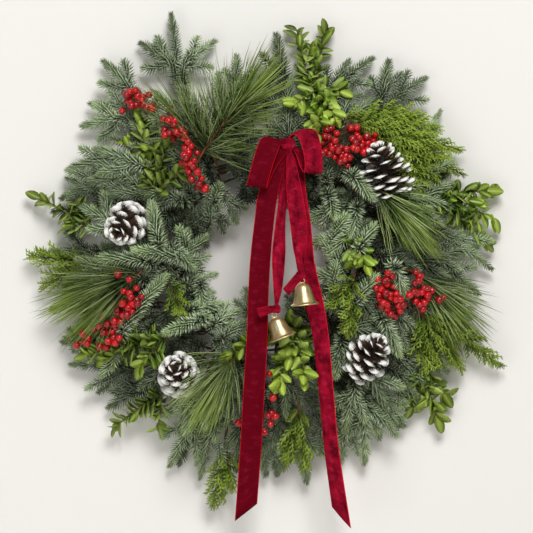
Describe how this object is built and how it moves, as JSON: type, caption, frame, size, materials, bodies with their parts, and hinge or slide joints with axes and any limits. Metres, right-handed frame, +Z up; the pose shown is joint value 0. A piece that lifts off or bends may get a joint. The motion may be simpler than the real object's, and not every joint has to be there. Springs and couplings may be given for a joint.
{
  "type": "fresh evergreen wreath",
  "caption": "Ring of mixed evergreen sprays on a wire frame, with pine cones, red berries and a ribbon bow whose long tails and hung bells cross the open middle; it hangs on a wall.",
  "frame": {"origin": "point where the nail or hook bears on the inside of the hanging loop, on the plane of the wall behind the wreath", "axes": "+X to the viewer's right, +Z up, -Y out of the wall towards the viewer; the wall is the plane y = 0"},
  "size_m": [0.6079, 0.138, 0.6515],
  "materials": {
    "frame_wire": "dark green paint over wire, semi-gloss",
    "bare_wire": "dull annealed wire",
    "fir": "blue-green needles with silvery bands, woody twigs",
    "pine": "fresh green long needles, brown twigs",
    "cedar": "flat yellow-green scale sprays",
    "boxwood": "satin fresh green leaves, pale midrib",
    "berry": "glossy red skin with a small dark end",
    "cone": "dark brown scales with white-painted ends",
    "ribbon": "deep red velvet with a satin selvedge",
    "brass": "satin antique brass"
  },
  "bodies": {
    "wreath": {"bell_left": "brass", "bell_ribbon_left": "ribbon", "bell_ribbon_right": "ribbon", "bell_right": "brass", "berries_bottom": "berry", "berries_left": "berry", "berries_left_chain": "berry", "berries_right": "berry", "berries_top_right": "berry", "berries_upper_left": "berry", "bow_knot": "ribbon", "bow_loop_left": "ribbon", "bow_loop_right": "ribbon", "bow_wire": "bare_wire", "boxwood_bottom_left": "boxwood", "boxwood_bottom_mid": "boxwood", "boxwood_centre_right": "boxwood", "boxwood_left": "boxwood", "boxwood_left_low": "boxwood", "boxwood_right": "boxwood", "boxwood_right_low": "boxwood", "boxwood_top": "boxwood", "boxwood_top_front": "boxwood", "boxwood_upper_left": "boxwood", "cedar_bottom_left": "cedar", "cedar_bottom_mid": "cedar", "cedar_centre_right": "cedar", "cedar_inner_left": "cedar", "cedar_left": "cedar", "cedar_right_low": "cedar", "cedar_right_top": "cedar", "cone_left": "cone", "cone_lower_left": "cone", "cone_lower_right": "cone", "cone_right": "cone", "fir_bunch_01": "fir", "fir_bunch_02": "fir", "fir_bunch_03": "fir", "fir_bunch_04": "fir", "fir_bunch_05": "fir", "fir_bunch_06": "fir", "fir_bunch_07": "fir", "fir_bunch_08": "fir", "fir_bunch_09": "fir", "fir_bunch_10": "fir", "hanging_loop": "bare_wire", "pine_bottom_left": "pine", "pine_left": "pine", "pine_right_low": "pine", "pine_right_mid": "pine", "pine_top": "pine", "pine_top_left": "pine", "ribbon_tail_left": "ribbon", "ribbon_tail_right": "ribbon", "wire_frame": "frame_wire"},
    "clapper_left": {"clapper_left": "brass"},
    "clapper_right": {"clapper_right": "brass"}
  },
  "joints": [
    {"name": "clapper_left_swing", "type": "hinge", "parent": "wreath", "child": "clapper_left", "pos_m": [0.01723, -0.115, -0.23377], "axis": [0, 1, 0], "range_deg": [-47, 6]},
    {"name": "clapper_right_swing", "type": "hinge", "parent": "wreath", "child": "clapper_right", "pos_m": [0.0505, -0.121, -0.19143], "axis": [0, 1, 0], "range_deg": [-33, 21]}
  ]
}
